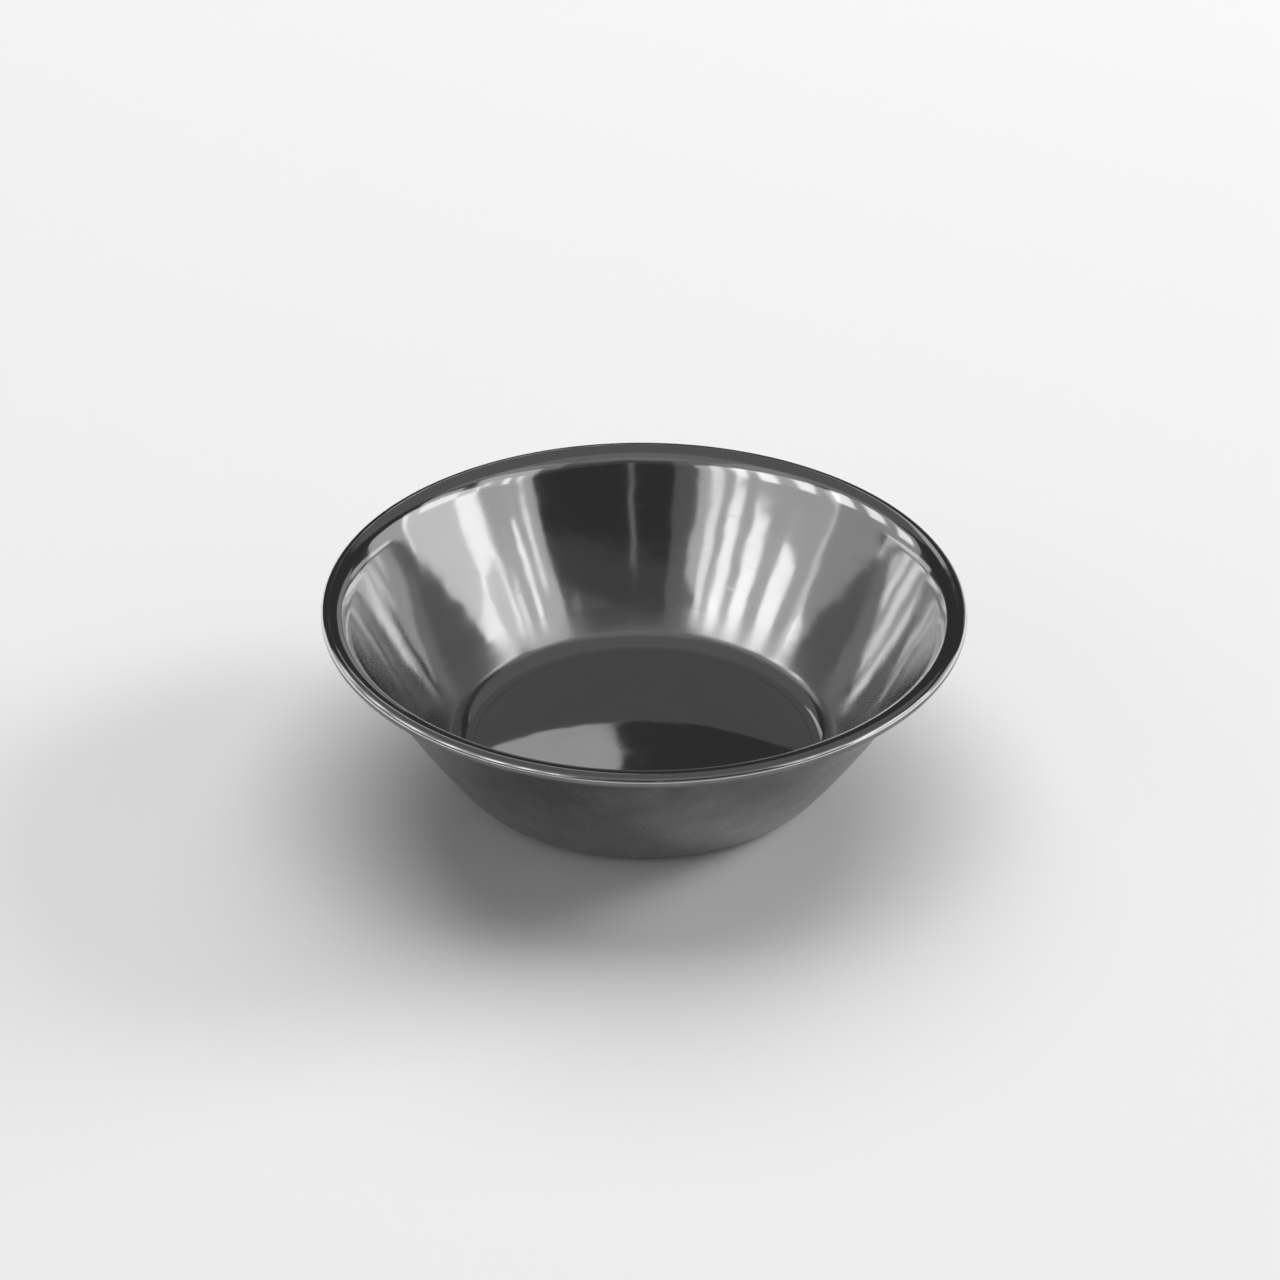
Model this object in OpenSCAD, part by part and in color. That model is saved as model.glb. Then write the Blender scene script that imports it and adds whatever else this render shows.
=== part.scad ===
// Prep bowl pressed from one disc of steel sheet.
// The sheet has one thickness everywhere. Its cross-section is followed from the centre of the floor
// outwards as a chain of arcs that run smoothly into each other: raised floor panel, standing ring,
// knuckle, curved wall, shoulder, flare and rolled rim. The chain is then turned once round the Z axis.
// Origin: centre of the base, on the surface that the bowl stands on. +Z is up.

/* [Overall size] */
// Diameter over the rolled rim
rim_d = 160; // [140:1:220]
// Height from the standing ring to the top of the rim
bowl_h = 47.25; // [36:0.25:80]
// Thickness of the steel sheet
sheet_t = 0.5; // [0.3:0.05:0.8]

/* [Base] */
// Diameter of the flat base, where the knuckle starts
base_d = 90; // [70:1:110]
// Width of the flat standing ring round the base
ring_w = 0.6; // [0.4:0.1:4]
// Height of the floor panel above the standing ring
panel_lift = 0.4; // [0.2:0.1:2]
// Steepest slope of the step between panel and ring, in degrees
step_slope = 45; // [20:1:80]
// Inside radius of the knuckle between base and wall
knuckle_r = 7; // [2:0.5:15]

/* [Wall] */
// How much steeper the wall is at its top than at its foot, in degrees
wall_turn = 10; // [4:1:40]

/* [Rim] */
// Radius of the soft shoulder where the wall starts to turn outwards, on its top face
shoulder_r = 15; // [6:0.5:25]
// Slope at which the shoulder runs over into the flare, in degrees
shoulder_slope = 52; // [40:1:60]
// Radius of the flare between shoulder and roll, on its top face
flare_r = 4.5; // [3.5:0.25:14]
// Diameter of the roll at the edge
roll_d = 3.5; // [2.4:0.1:6]
// Gap between the cut edge inside the roll and the flare above it
curl_gap = 0.3; // [0.1:0.05:0.8]

/* [Hidden] */

// Largest distance between an arc and the chords that stand for it
arc_dev = 0.01;
$fn = 96;

half_t = sheet_t / 2;
base_r = base_d / 2;
roll_r = roll_d / 2;

// Radii of the middle of the sheet
step_mid_r = panel_lift / (2 * (1 - cos(step_slope)));
knuckle_mid_r = knuckle_r + half_t;
shoulder_mid_r = shoulder_r - half_t;
flare_mid_r = flare_r - half_t;
roll_mid_r = roll_r - half_t;

// Heights of the middle of the sheet
ring_z = half_t;
panel_z = ring_z + panel_lift;

// Centres of the bends, as [radius from the axis, height]
ring_bend_c = [base_r - ring_w, ring_z + step_mid_r];
panel_bend_c = [ring_bend_c.x - 2 * step_mid_r * sin(step_slope), panel_z - step_mid_r];
knuckle_c = [base_r, ring_z + knuckle_mid_r];
roll_c = [rim_d / 2 - roll_r, bowl_h - roll_r];
flare_c = [roll_c.x, bowl_h - flare_r];
shoulder_c = flare_c + (shoulder_mid_r - flare_mid_r) * [sin(shoulder_slope), -cos(shoulder_slope)];

// Mean slope of the wall: the one arc of wall_turn degrees that meets knuckle and shoulder smoothly
reach = shoulder_c.x - knuckle_c.x;
rise = shoulder_c.y - knuckle_c.y;
blend = (shoulder_mid_r + knuckle_mid_r) * cos(wall_turn / 2);
wall_slope = acos(-blend / norm([rise, reach])) - atan2(reach, rise);
foot_slope = wall_slope - wall_turn / 2;
top_slope = wall_slope + wall_turn / 2;

wall_foot = knuckle_c + knuckle_mid_r * [sin(foot_slope), -cos(foot_slope)];
wall_top = shoulder_c + shoulder_mid_r * [-sin(top_slope), cos(top_slope)];
wall_mid_r = norm(wall_top - wall_foot) / (2 * sin(wall_turn / 2));
wall_c = wall_foot + wall_mid_r * [-sin(foot_slope), cos(foot_slope)];

// The roll closes until its cut edge is curl_gap below the underside of the flare
flare_under_r = flare_r - sheet_t;
flare_drop = flare_under_r - sqrt(flare_under_r ^ 2 - roll_r ^ 2);
roll_turn = 360 - acos((roll_r - sheet_t - flare_drop - curl_gap) / roll_r);

// Points of an arc from angle a0 to a1; skip = 1 leaves out its first point, where it follows another arc
function arc(c, r, a0, a1, skip = 0) =
    let (n = ceil(abs(a1 - a0) / (2 * acos(1 - arc_dev / r))))
    [for (i = [skip:n]) let (a = a0 + (a1 - a0) * i / n) c + r * [cos(a), sin(a)]];

// One face of the sheet from the axis to its cut edge; side is 1 for the inner face, -1 for the outer face
function sheet_face(side) =
    let (d = side * half_t)
    concat(
        [[0, panel_z + d]],
        arc(panel_bend_c, step_mid_r + d, 90, 90 - step_slope),
        arc(ring_bend_c, step_mid_r - d, 270 - step_slope, 270, 1),
        arc(knuckle_c, knuckle_mid_r - d, 270, 270 + foot_slope),
        arc(wall_c, wall_mid_r - d, 270 + foot_slope, 270 + top_slope, 1),
        arc(shoulder_c, shoulder_mid_r + d, 90 + top_slope, 90 + shoulder_slope, 1),
        arc(flare_c, flare_mid_r + d, 90 + shoulder_slope, 90, 1),
        arc(roll_c, roll_mid_r + d, 90, 90 - roll_turn, 1)
    );

function backwards(list) = [for (i = [len(list) - 1:-1:0]) list[i]];

module bowl() {
    color("silver")
    rotate_extrude()
    polygon(concat(sheet_face(1), backwards(sheet_face(-1))));
}

bowl();
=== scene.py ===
# %% [markdown]
# # A pressed steel prep bowl
# The bowl is one disc of thin stainless steel, pressed into shape and rolled under at the rim. The frame holds its
# solid at the real size. Here the same sheet is drawn again with a much finer mesh, because polished steel shows
# every flat facet of a coarse one. Then it gets its two finishes: polished inside, dull outside.

# %% Load the frame
import math

import bpy
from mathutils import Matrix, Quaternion, Vector


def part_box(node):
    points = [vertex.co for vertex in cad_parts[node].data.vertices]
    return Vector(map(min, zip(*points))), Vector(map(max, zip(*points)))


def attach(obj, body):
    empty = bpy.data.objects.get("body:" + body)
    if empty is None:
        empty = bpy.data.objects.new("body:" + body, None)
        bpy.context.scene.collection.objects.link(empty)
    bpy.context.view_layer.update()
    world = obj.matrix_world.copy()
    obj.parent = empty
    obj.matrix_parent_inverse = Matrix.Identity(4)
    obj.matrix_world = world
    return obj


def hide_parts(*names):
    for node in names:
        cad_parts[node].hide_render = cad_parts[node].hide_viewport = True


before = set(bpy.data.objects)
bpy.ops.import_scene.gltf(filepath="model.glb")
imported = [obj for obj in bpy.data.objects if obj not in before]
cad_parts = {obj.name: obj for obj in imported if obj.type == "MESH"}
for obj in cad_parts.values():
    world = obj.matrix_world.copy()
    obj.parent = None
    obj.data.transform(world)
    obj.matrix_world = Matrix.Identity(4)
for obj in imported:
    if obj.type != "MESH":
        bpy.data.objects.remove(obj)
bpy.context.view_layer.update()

MM = 0.001
lowest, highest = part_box("bowl")
rim_r = highest.x
bowl_h = highest.z - lowest.z
print(f"the bowl is {2 * rim_r / MM:.1f} mm across the rim and {bowl_h / MM:.1f} mm high")

# %% [markdown]
# ## Sizes of the sheet
# Everything is measured on the middle of the sheet, half a thickness from either face, so that the thickness can
# be added evenly at the end. From the axis outwards the sheet has a raised floor panel, a small step down to the
# ring that it stands on, the knuckle, the curved wall, a soft shoulder, the flare and the roll. The roll closes
# until its cut edge almost touches the flare above it, so its turn follows from that small gap.

# %% Sizes of the sheet
sheet_t = 0.5 * MM
half_t = sheet_t / 2
base_r = 45 * MM
ring_w = 0.6 * MM
panel_lift = 0.4 * MM
step_slope = 45
knuckle_r = 7 * MM + half_t
wall_turn = 10
shoulder_r = 15 * MM - half_t
shoulder_slope = 52
flare_top_r = 4.5 * MM
flare_r = flare_top_r - half_t
roll_outside_r = 1.75 * MM
roll_r = roll_outside_r - half_t
curl_gap = 0.3 * MM

ring_z = half_t
panel_z = ring_z + panel_lift
step_r = panel_lift / (2 * (1 - math.cos(math.radians(step_slope))))
flare_under_r = flare_top_r - sheet_t
flare_drop = flare_under_r - math.sqrt(flare_under_r ** 2 - roll_outside_r ** 2)
roll_turn = 360 - math.degrees(math.acos((roll_outside_r - sheet_t - flare_drop - curl_gap) / roll_outside_r))
print(f"the step round the floor has a radius of {step_r / MM:.2f} mm, and the roll turns by {roll_turn:.0f} degrees")

# %% [markdown]
# ## Where each bend turns
# A bend is an arc, and an arc is known by its centre. Each centre is a pair: distance from the axis and height.
# The wall has to leave the knuckle and enter the shoulder without a kink. Only one arc of the given turn does that,
# and its mean slope comes out of the triangle between the two centres.

# %% Where each bend turns
def on_arc(centre, radius, degrees):
    """The point of an arc at an angle, counted from the outward direction towards up."""
    turn = math.radians(degrees)
    return centre[0] + radius * math.cos(turn), centre[1] + radius * math.sin(turn)


ring_bend = (base_r - ring_w, ring_z + step_r)
panel_bend = (ring_bend[0] - 2 * step_r * math.sin(math.radians(step_slope)), panel_z - step_r)
knuckle = (base_r, ring_z + knuckle_r)
roll = (rim_r - roll_outside_r, bowl_h - roll_outside_r)
flare = (roll[0], bowl_h - flare_top_r)
shoulder = on_arc(flare, shoulder_r - flare_r, shoulder_slope - 90)

reach, rise = shoulder[0] - knuckle[0], shoulder[1] - knuckle[1]
blend = (shoulder_r + knuckle_r) * math.cos(math.radians(wall_turn / 2))
wall_slope = math.degrees(math.acos(-blend / math.hypot(rise, reach)) - math.atan2(reach, rise))
foot_slope, top_slope = wall_slope - wall_turn / 2, wall_slope + wall_turn / 2
wall_foot = on_arc(knuckle, knuckle_r, foot_slope - 90)
wall_top = on_arc(shoulder, shoulder_r, top_slope + 90)
wall_r = math.dist(wall_foot, wall_top) / (2 * math.sin(math.radians(wall_turn / 2)))
wall = on_arc(wall_foot, wall_r, foot_slope + 90)
print(f"the wall steepens from {foot_slope:.1f} to {top_slope:.1f} degrees on a radius of {wall_r / MM:.0f} mm")

# %% [markdown]
# ## The section as a line
# A plane is merged to one vertex on the axis. The vertex is extruded along the straight stretches and spun round
# the centre of each bend, which leaves a chain of edges behind it. Short extra stretches beside a bend keep the
# flat panel flat, because smooth shading blends the direction of neighbouring faces.

# %% The section as a line
bpy.ops.object.select_all(action="DESELECT")
bpy.ops.mesh.primitive_plane_add(size=sheet_t)
bowl = bpy.context.object
bowl.name = "bowl_steel"
bowl.data.name = "bowl_steel"
bpy.ops.object.mode_set(mode="EDIT")
bpy.ops.mesh.select_all(action="SELECT")
bpy.ops.mesh.merge(type="CENTER")
bpy.ops.transform.translate(value=(0, 0, panel_z))


def straight(length):
    """Extrudes the end of the line outwards."""
    bpy.ops.mesh.extrude_region_move(TRANSFORM_OT_translate={"value": (length, 0, 0)})


def bend(centre, degrees, steps):
    """Spins the end of the line round a centre; more than 0 turns it downwards."""
    bpy.ops.mesh.spin(steps=steps, angle=math.radians(degrees), center=(centre[0], 0, centre[1]), axis=(0, -1, 0))


for share in (0.25, 0.45, 0.25, 0.04, 0.01):
    straight(panel_bend[0] * share)
bend(panel_bend, step_slope, 7)
bend(ring_bend, -step_slope, 7)
for share in (0.1, 0.8, 0.1):
    straight(ring_w * share)
bend(knuckle, -foot_slope, 16)
bend(wall, -wall_turn, 26)
bend(shoulder, top_slope - shoulder_slope, 10)
bend(flare, shoulder_slope, 20)
bend(roll, roll_turn, 34)
bpy.ops.object.mode_set(mode="OBJECT")
line_end = bowl.data.vertices[-1].co / MM
print(f"the line of {len(bowl.data.vertices)} points ends at radius {line_end.x:.2f}, height {line_end.z:.2f} mm")

# %% [markdown]
# ## The line turned round the axis
# Spin with a full turn makes the sheet. The start and the end of the turn lie on each other, and all copies of
# the first vertex lie on the axis, so doubles are merged. The normals are made to agree, with the floor facing up.

# %% The line turned round the axis
steps_round = 384
bpy.ops.object.mode_set(mode="EDIT")
bpy.ops.mesh.select_all(action="SELECT")
bpy.ops.mesh.spin(steps=steps_round, angle=2 * math.pi, center=(0, 0, 0), axis=(0, 0, 1))
bpy.ops.mesh.select_all(action="SELECT")
bpy.ops.mesh.remove_doubles(threshold=0.005 * MM)
bpy.ops.mesh.normals_make_consistent(inside=False)
bpy.ops.object.mode_set(mode="OBJECT")
middle_face = min(bowl.data.polygons, key=lambda face: face.center.xy.length)
if middle_face.normal.z < 0:
    bpy.ops.object.mode_set(mode="EDIT")
    bpy.ops.mesh.flip_normals()
    bpy.ops.object.mode_set(mode="OBJECT")
print(f"the turned sheet has {len(bowl.data.polygons)} faces")

# %% [markdown]
# ## Colours and nodes
# Colours are written as they look on a screen and turned into the linear values that shaders work with. One
# small function adds a shader node, sets it up and links it, so that a material reads as a short list of steps.

# %% Colours and nodes
def hex_linear(text):
    """An sRGB hex colour such as C0C0C0 as a linear colour."""
    parts = [int(text[i:i + 2], 16) / 255 for i in (0, 2, 4)]
    return *(c / 12.92 if c <= 0.04045 else ((c + 0.055) / 1.055) ** 2.4 for c in parts), 1.0


def add_node(tree, kind, inputs=None, **settings):
    """Adds a node; inputs are values, or sockets to link from."""
    new = tree.nodes.new(kind)
    for name, value in settings.items():
        setattr(new, name, value)
    for name, value in (inputs or {}).items():
        if isinstance(value, bpy.types.NodeSocket):
            tree.links.new(value, new.inputs[name])
        else:
            new.inputs[name].default_value = value
    return new


print("CACACA is", [round(c, 3) for c in hex_linear("CACACA")[:3]], "in linear values")

# %% [markdown]
# ## Marks that run round the bowl
# A pressed bowl is polished while it turns, and a spoon stirs in rounds, so all fine marks run round the axis.
# The noise is therefore stretched along the turn: slow in the direction of travel, fast across it. The real
# polishing lines are far finer than a pixel. They are drawn half a millimetre apart, so that the picture can show
# them at all.

# %% Marks that run round the bowl
def marks_round(tree, place, gap, length):
    """Noise in lines round the axis: a gap between the lines, and their length as a share of the radius."""
    parts = add_node(tree, "ShaderNodeSeparateXYZ", {0: place})
    level = add_node(tree, "ShaderNodeCombineXYZ", {0: parts.outputs[0], 1: parts.outputs[1]})
    radius = add_node(tree, "ShaderNodeVectorMath", {0: level.outputs[0]}, operation="LENGTH")
    heading = add_node(tree, "ShaderNodeVectorMath", {0: level.outputs[0]}, operation="NORMALIZE")
    along = add_node(tree, "ShaderNodeVectorMath", {0: heading.outputs[0], "Scale": 1 / length}, operation="SCALE")
    across = add_node(tree, "ShaderNodeMath", {0: radius.outputs["Value"], 1: 1 / gap}, operation="MULTIPLY")
    lift = add_node(tree, "ShaderNodeCombineXYZ", {2: across.outputs[0]})
    spread = add_node(tree, "ShaderNodeVectorMath", {0: along.outputs[0], 1: lift.outputs[0]}, operation="ADD")
    height = add_node(tree, "ShaderNodeMath", {0: parts.outputs[2], 1: 1 / gap}, operation="MULTIPLY")
    noise = add_node(tree, "ShaderNodeTexNoise", {"Vector": spread.outputs[0], "W": height.outputs[0], "Scale": 1.0,
                                                  "Detail": 1.0}, noise_dimensions="4D")
    return noise.outputs[0]


line_gap, line_length = 0.5 * MM, 0.12
scratch_gap, scratch_length = 1.6 * MM, 0.15
print(f"polishing lines are {line_gap / MM} mm apart, and bands for scratches {scratch_gap / MM} mm")

# %% [markdown]
# ## Steel sheet
# Both faces are the same metal, so one function makes both finishes. Four things tell them apart from a perfect
# mirror. The sheet waves slightly where it was stretched, which bends the edges of every reflection. Polishing
# lines blur them upwards and downwards. Soft clouds of wear change the gloss. A few scratches catch the light.
# The floor was hardly stretched, so it keeps the flat mirror of the rolled sheet, and the wall gets the rest. The
# tight knuckle is hard to reach with the buffing wheel and stays softer. Outside, a painted shade darkens the colour
# from near the foot up to under the rim.

# %% Steel sheet
wave_length = 16 * MM
cloud_length = 9 * MM
scratch_from, scratch_full = 0.70, 0.78
scratch_rough = 0.06
cloud_from, cloud_full = 0.3, 0.7
cloud_shade = 0.2
unstretched_z, stretched_z = 1.5 * MM, 9 * MM
unstretched_share = 0.35
knuckle_start_z, knuckle_full_z = 1.0 * MM, 1.8 * MM
knuckle_fade_z, knuckle_end_z = 3 * MM, 10 * MM
# Heights over which painted shade darkens the outside's colour upwards, up to under the rim.
painted_shade_start_z, painted_shade_full_z = 4 * MM, 40 * MM


def steel(name, light, dark, top_painted_shade, rough_flat, rough_wall, rough_knuckle, rough_clouds, wave_depth, line_depth):
    """Stainless sheet: colours, painted shade that darkens it towards the rim, roughness by place, and depths of
    waves and lines.
    """
    made = bpy.data.materials.new(name)
    made.use_nodes = True
    tree = made.node_tree
    shader = tree.nodes["Principled BSDF"]
    place = add_node(tree, "ShaderNodeTexCoord").outputs["Object"]
    height = add_node(tree, "ShaderNodeSeparateXYZ", {0: place}).outputs[2]

    def ranged(value, start, end, low=0.0, high=1.0):
        """Runs from low to high while a value runs from start to end."""
        return add_node(tree, "ShaderNodeMapRange", {0: value, 1: start, 2: end, 3: low, 4: high}).outputs[0]

    def times(value, factor, plus=None):
        """A product, and a sum with it where one is given."""
        if plus is None:
            return add_node(tree, "ShaderNodeMath", {0: value, 1: factor}, operation="MULTIPLY").outputs[0]
        return add_node(tree, "ShaderNodeMath", {0: value, 1: factor, 2: plus}, operation="MULTIPLY_ADD").outputs[0]

    def noise(length, detail):
        """Soft noise whose blotches are about one length across."""
        inputs = {"Vector": place, "Scale": 1 / length, "Detail": detail}
        return add_node(tree, "ShaderNodeTexNoise", inputs).outputs[0]

    clouds = ranged(noise(cloud_length, 4.0), cloud_from, cloud_full)
    scratches = ranged(marks_round(tree, place, scratch_gap, scratch_length), scratch_from, scratch_full)
    stretch = ranged(height, unstretched_z, stretched_z, unstretched_share, 1.0)

    # Painted shade: the colour darkens with height towards the rim by the given share, on top of the random blotches.
    shade = times(clouds, cloud_shade, ranged(height, painted_shade_start_z, painted_shade_full_z, 0.0, top_painted_shade))
    shades = {"Factor": shade, 6: hex_linear(light), 7: hex_linear(dark)}
    colour = add_node(tree, "ShaderNodeMix", shades, data_type="RGBA")

    gloss = ranged(height, unstretched_z, stretched_z, rough_flat, rough_wall)
    entering = ranged(height, knuckle_start_z, knuckle_full_z)
    leaving = ranged(height, knuckle_fade_z, knuckle_end_z, rough_knuckle, 0.0)
    worn = times(clouds, rough_clouds, times(entering, leaving, gloss))
    scratched = times(scratches, scratch_rough, worn)

    waves = times(noise(wave_length, 1.5), stretch)
    wavy = add_node(tree, "ShaderNodeBump", {"Height": waves, "Distance": wave_depth}).outputs[0]
    lines = times(marks_round(tree, place, line_gap, line_length), stretch)
    lined = add_node(tree, "ShaderNodeBump", {"Height": lines, "Distance": line_depth, "Normal": wavy}).outputs[0]

    tree.links.new(colour.outputs[2], shader.inputs["Base Color"])
    tree.links.new(scratched, shader.inputs["Roughness"])
    tree.links.new(lined, shader.inputs["Normal"])
    shader.inputs["Metallic"].default_value = 1.0
    return made


# Inside and over the rim: a buffed mirror that shows the lamps as clear, slightly wavy stripes.
polished_steel = steel("polished stainless steel", light="DCDCDC", dark="CCCCCC", top_painted_shade=0.0,
                       rough_flat=0.03, rough_wall=0.075, rough_knuckle=0.14, rough_clouds=0.03,
                       wave_depth=0.16 * MM, line_depth=0.001 * MM)
# Outside: left as it came from the press, so that it shows only soft light and dark, with blotches, and painted shade
# that darkens it towards the rim.
dull_steel = steel("dull pressed stainless steel", light="AEAEAE", dark="626262", top_painted_shade=0.7,
                   rough_flat=0.26, rough_wall=0.26, rough_knuckle=0.0, rough_clouds=0.06,
                   wave_depth=0.15 * MM, line_depth=0.008 * MM)
print("made", polished_steel.name, "and", dull_steel.name)

# %% [markdown]
# ## The thickness of the sheet
# Solidify gives the sheet its two faces, half a thickness to either side, and closes the cut edge inside the
# roll. It also hands the outer face and the cut edge to the second material slot. The buffing wheel doesn't reach
# under the roll, so the faces there are dull as well. The mesh is smooth all over except at the two corners of the
# cut edge.

# %% The thickness of the sheet
bowl.data.materials.append(polished_steel)
bowl.data.materials.append(dull_steel)
thicken = bowl.modifiers.new("sheet thickness", "SOLIDIFY")
thicken.thickness = sheet_t
thicken.offset = 0
thicken.use_even_offset = True
thicken.use_quality_normals = True
thicken.material_offset = 1
thicken.material_offset_rim = 1
bpy.context.view_layer.objects.active = bowl
bpy.ops.object.modifier_apply(modifier=thicken.name)
# The faces under the roll take the dull material, and with it the painted shade, which is darkest there, near the
# rim.
buffed_share = 0.25
buffed_z = roll[1] + buffed_share * roll_outside_r
for face in bowl.data.polygons:
    if face.center.xy.length > roll[0] - roll_outside_r and face.center.z < buffed_z:
        face.material_index = 1
bpy.ops.object.select_all(action="DESELECT")
bowl.select_set(True)
bpy.ops.object.shade_smooth_by_angle(angle=math.radians(40))
polished_faces = sum(face.material_index == 0 for face in bowl.data.polygons)
print(f"{polished_faces} of {len(bowl.data.polygons)} faces are polished")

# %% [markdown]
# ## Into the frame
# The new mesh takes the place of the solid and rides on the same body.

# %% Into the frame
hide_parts("bowl")
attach(bowl, "root")
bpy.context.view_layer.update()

# %% [markdown]
# ## The camera
# The camera stands half a metre away and looks down into the bowl, as in the photograph. The lens is a short
# tele, which keeps the rim from looking too wide. The camera is also tipped by a third of a degree.

# %% The camera
camera_data = bpy.data.cameras.new("camera")
camera = bpy.data.objects.new("camera", camera_data)
bpy.context.scene.collection.objects.link(camera)
bpy.context.scene.camera = camera
camera_data.sensor_width = 36
camera_data.lens = 65.37
camera.location = (0, -494.2 * MM, 347.4 * MM)
camera_target = Vector((-0.96 * MM, 0, 32.45 * MM))
tip_degrees = 0.340
camera_tip = Quaternion((0, 0, 1), math.radians(tip_degrees))
camera.rotation_mode = "QUATERNION"
camera.rotation_quaternion = (camera_target - camera.location).to_track_quat("-Z", "Y") @ camera_tip
print(f"the camera is {(camera.location - camera_target).length / MM:.0f} mm from the bowl")

# %% [markdown]
# ## The floor
# A large sheet of matt white board. It is only a stage, not part of the bowl.

# %% The floor
bpy.ops.object.select_all(action="DESELECT")
floor_width = 40
bpy.ops.mesh.primitive_plane_add(size=floor_width)
floor = bpy.context.object
floor.name = "studio_floor"
board = bpy.data.materials.new("matt white board")
board.use_nodes = True
board_shader = board.node_tree.nodes["Principled BSDF"]
board_shader.inputs["Base Color"].default_value = hex_linear("F2F2F2")
board_shader.inputs["Roughness"].default_value = 0.9
board_shader.inputs["Specular IOR Level"].default_value = 0.1
floor.data.materials.append(board)
print("the floor is", floor.dimensions.x, "m wide")

# %% [markdown]
# ## Hanging a lamp
# Polished steel has no look of its own: it shows its surroundings. So the lamps are placed by what the steel
# should show. Each one is a flat lamp that faces the bowl. It is given by its direction from the bowl, by its
# width and height in degrees, and by its radiance, where 1 looks white in a perfect mirror.

# %% Hanging a lamp
lamp_distance = 6.0


def hang_lamp(name, azimuth, elevation, width, height, radiance):
    """Hangs a flat lamp; azimuth 0 is at the camera and grows to the right, elevation 90 is overhead."""
    data = bpy.data.lights.new(name, "AREA")
    lamp = bpy.data.objects.new(name, data)
    bpy.context.scene.collection.objects.link(lamp)
    a, e = math.radians(azimuth), math.radians(elevation)
    away = Vector((math.sin(a) * math.cos(e), -math.cos(a) * math.cos(e), math.sin(e)))
    lamp.location = away * lamp_distance
    lamp.rotation_mode = "QUATERNION"
    lamp.rotation_quaternion = (-away).to_track_quat("-Z", "Y")
    data.shape = "RECTANGLE"
    data.size = 2 * lamp_distance * math.tan(math.radians(width / 2))
    data.size_y = 2 * lamp_distance * math.tan(math.radians(height / 2))
    data.energy = radiance * math.pi * data.size * data.size_y
    lamp.visible_camera = False
    return lamp


ten_degrees = 2 * lamp_distance * math.tan(math.radians(10 / 2))
print(f"a lamp 10 degrees wide is {ten_degrees:.2f} m wide at {lamp_distance} m")

# %% [markdown]
# ## Windows on the left
# A row of tall narrow windows in a pale wall. The wall of the bowl on the other side shows them as bright
# stripes with grey between them. A dim strip at the end of the row leads over to the dark side of the camera. Low
# light from a table and a faint glow above the windows fill the gaps, as in a real room.

# %% Windows on the left
hang_lamp("left_wall", -53, 23.5, 56, 24, 0.40)
hang_lamp("left_side", -103.5, 20, 46, 30, 0.28)
hang_lamp("left_window_1", -29.5, 27, 4, 15, 0.6)
hang_lamp("left_window_2", -39, 27, 5, 15, 0.8)
hang_lamp("left_window_3", -51, 27, 6.5, 15, 0.85)
hang_lamp("left_window_4", -67.5, 27, 8, 15, 0.8)
hang_lamp("left_window_5", -86, 27, 8, 15, 0.8)
hang_lamp("left_window_6", -101.5, 25, 8, 14, 0.8)
hang_lamp("left_window_7", -117, 20, 9, 12, 0.75)
hang_lamp("left_edge", -18.5, 27, 12, 18, 0.075)
hang_lamp("left_low", -120, 4, 28, 8, 0.5)
hang_lamp("left_glow", -75, 42, 70, 14, 0.10)
print("lamps so far:", len(bpy.data.lights))

# %% [markdown]
# ## Windows on the right
# A wider and lower group. The other wall of the bowl shows it as one broad bright patch with thin stripes beside
# it. Again low light and a faint glow go with it.

# %% Windows on the right
hang_lamp("right_wall", 58, 23, 24, 26, 0.42)
hang_lamp("right_window_1", 51, 23, 2, 9, 0.6)
hang_lamp("right_window_2", 57, 24, 2.4, 10, 0.8)
hang_lamp("right_window_3", 66, 26, 3, 6, 0.5)
hang_lamp("right_side", 88, 13.5, 36, 27, 0.70)
hang_lamp("right_end", 115, 12, 22, 24, 0.42)
hang_lamp("right_window_4", 75, 11.5, 9, 15, 0.5)
hang_lamp("right_window_5", 88, 25, 17, 13, 0.45)
hang_lamp("right_low", 127, 3, 26, 8, 0.4)
hang_lamp("right_glow", 65, 39, 50, 10, 0.10)
print("lamps so far:", len(bpy.data.lights))

# %% [markdown]
# ## The dim room
# The side of the camera stays dark, apart from a low dim strip and a faint upright line. The ceiling is dim and
# fades out towards the camera. A card behind the bowl lies in the mirror of its floor, with a little low light beside
# it.

# %% The dim room
hang_lamp("front_low", 8, 8.5, 70, 15, 0.18)
hang_lamp("front_line", 5, 25, 2, 12, 0.15)
hang_lamp("ceiling", 0, 90, 106, 106, 0.06).data.shape = "DISK"
hang_lamp("front_ceiling", 0, 50, 120, 28, 0.05)
hang_lamp("front_fade", 0, 37, 90, 14, 0.03)
hang_lamp("back_card", -170, 38, 15, 7.2, 0.35)
hang_lamp("back_low", 158, 8, 36, 16, 0.2)
print("lamps so far:", len(bpy.data.lights))

# %% [markdown]
# ## Light for the floor
# A large soft lamp above and behind the bowl lights the white floor and lets the soft shadow fall forwards, where
# the dull outside mirrors it and gets dark. A smaller lamp at the right lifts the floor there. Both would also show
# as glaring white squares in the steel, which the photograph doesn't have, so they are hidden from reflections.
# Light also bounces between the walls of a polished bowl several times before it leaves. With the usual four
# bounces the sides would turn black, so more are allowed.

# %% Light for the floor
hang_lamp("floor_lamp", 180, 60, 60, 60, 2.3).visible_glossy = False
hang_lamp("floor_side_lamp", 112, 22, 20, 20, 13.5).visible_glossy = False

world = bpy.data.worlds.new("dim room")
bpy.context.scene.world = world
world.use_nodes = True
world.node_tree.nodes["Background"].inputs["Color"].default_value = hex_linear("343434")
world.node_tree.nodes["Background"].inputs["Strength"].default_value = 1.0
bpy.context.scene.view_settings.view_transform = "Standard"
bpy.context.scene.cycles.glossy_bounces = 10
print("lamps in all:", len(bpy.data.lights))
